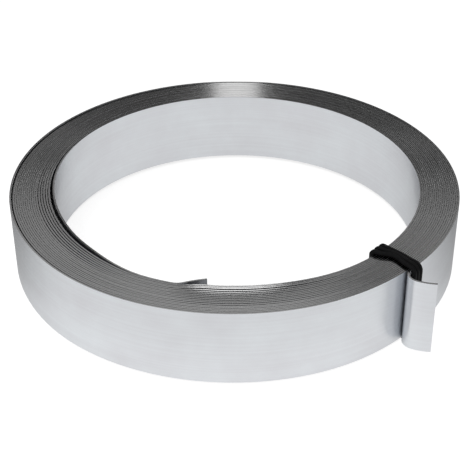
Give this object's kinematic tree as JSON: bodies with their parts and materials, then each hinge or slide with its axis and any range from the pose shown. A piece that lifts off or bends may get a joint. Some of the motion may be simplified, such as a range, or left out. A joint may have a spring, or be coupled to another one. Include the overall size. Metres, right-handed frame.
{
  "type": "coil of steel strapping band",
  "caption": "Short coil of bright steel strapping wound flat, its turns showing on both ends, with a curled free tail, a kinked inner end and a black rubber tie round the section",
  "frame": {"origin": "on the coil's axis, at the floor under the tie", "axes": "+Z is the coil's axis and points up from the floor, +X points right and -Y points at the viewer, with the tail and the tie at the front right"},
  "size_m": [0.1762, 0.1758, 0.0331],
  "materials": {
    "bright_steel": "cold rolled bright strip with a fine satin along its length, slit edges left bare",
    "black_rubber": "matt black elastic rubber"
  },
  "bodies": {
    "root": {"steel_band": "bright_steel", "rubber_tie": "black_rubber"}
  },
  "joints": []
}
